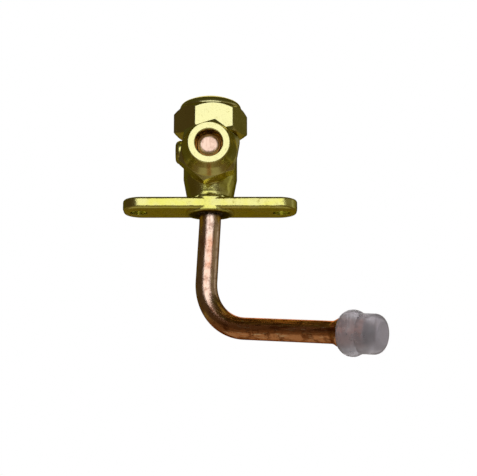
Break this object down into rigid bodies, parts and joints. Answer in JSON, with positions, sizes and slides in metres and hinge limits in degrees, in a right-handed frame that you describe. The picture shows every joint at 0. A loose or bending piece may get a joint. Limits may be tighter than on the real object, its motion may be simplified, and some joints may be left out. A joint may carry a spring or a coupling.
{
  "type": "refrigerant service valve",
  "caption": "Brass service valve for a refrigerant line, with a screw-down stem under a domed cap, a capped flare port, a fixing flange and a bent copper tube with a plastic end cap.",
  "frame": {"origin": "centre of the underside of the fixing flange, on the axis of the valve's stem", "axes": "+Z along the stem towards the stem cap, -Y out of the flare port, X along the line of the two fixing screws"},
  "size_m": [0.0747, 0.0402, 0.0802],
  "materials": {
    "forged_brass": "forged and tumbled, satin",
    "machined_brass": "turned and milled, bright",
    "copper": "drawn copper, tarnished and scratched",
    "bonnet_copper": "pressed copper, bright inside a dark bore",
    "braze_metal": "braze metal with dark flux residue",
    "spring_steel": "spring steel",
    "seal_rubber": "oiled rubber",
    "seal_plastic": "white fluoropolymer",
    "cap_plastic": "moulded soft grey plastic, slightly see-through"
  },
  "bodies": {
    "valve": {"valve_body": "forged_brass", "copper_tube": "copper", "braze_ring": "braze_metal", "stem_retaining_ring": "spring_steel"},
    "stem_seals": {"stem_o_ring": "seal_rubber", "stem_backup_ring": "seal_plastic"},
    "stem": {"stem": "machined_brass"},
    "cap_ring": {"cap_seal": "seal_plastic"},
    "cap": {"stem_cap": "machined_brass"},
    "bonnet": {"flare_bonnet": "bonnet_copper"},
    "nut": {"flare_nut": "machined_brass"},
    "end_cap": {"tube_end_cap": "cap_plastic"}
  },
  "joints": [
    {"name": "stem_lift", "type": "slide", "parent": "valve", "child": "stem_seals", "axis": [0, 0, 1], "range_m": [0, 0.0035]},
    {"name": "stem_turn", "type": "hinge", "parent": "stem_seals", "child": "stem", "pos_m": [0, 0, 0.0148], "axis": [0, 0, 1], "range_deg": [0, 1260]},
    {"name": "cap_rise", "type": "slide", "parent": "valve", "child": "cap_ring", "axis": [0, 0, 1], "range_m": [0, 0.006]},
    {"name": "cap_turn", "type": "hinge", "parent": "cap_ring", "child": "cap", "pos_m": [0, 0, 0.03], "axis": [0, 0, 1], "range_deg": [0, 2160]},
    {"name": "nut_travel", "type": "slide", "parent": "valve", "child": "bonnet", "axis": [0, -1, 0], "range_m": [0, 0.00508]},
    {"name": "nut_turn", "type": "hinge", "parent": "bonnet", "child": "nut", "pos_m": [0, -0.0138, 0.0148], "axis": [0, -1, 0], "range_deg": [0, 1440]},
    {"name": "end_cap_pull", "type": "slide", "parent": "valve", "child": "end_cap", "axis": [0.8781, -0.4669, -0.1045], "range_m": [0, 0.0074]}
  ],
  "couplings": [
    {"joint": "stem_turn", "follows": "stem_lift", "rad_per_m": 6283.2},
    {"joint": "cap_turn", "follows": "cap_rise", "rad_per_m": 6283.2},
    {"joint": "nut_turn", "follows": "nut_travel", "rad_per_m": 4947.4}
  ]
}
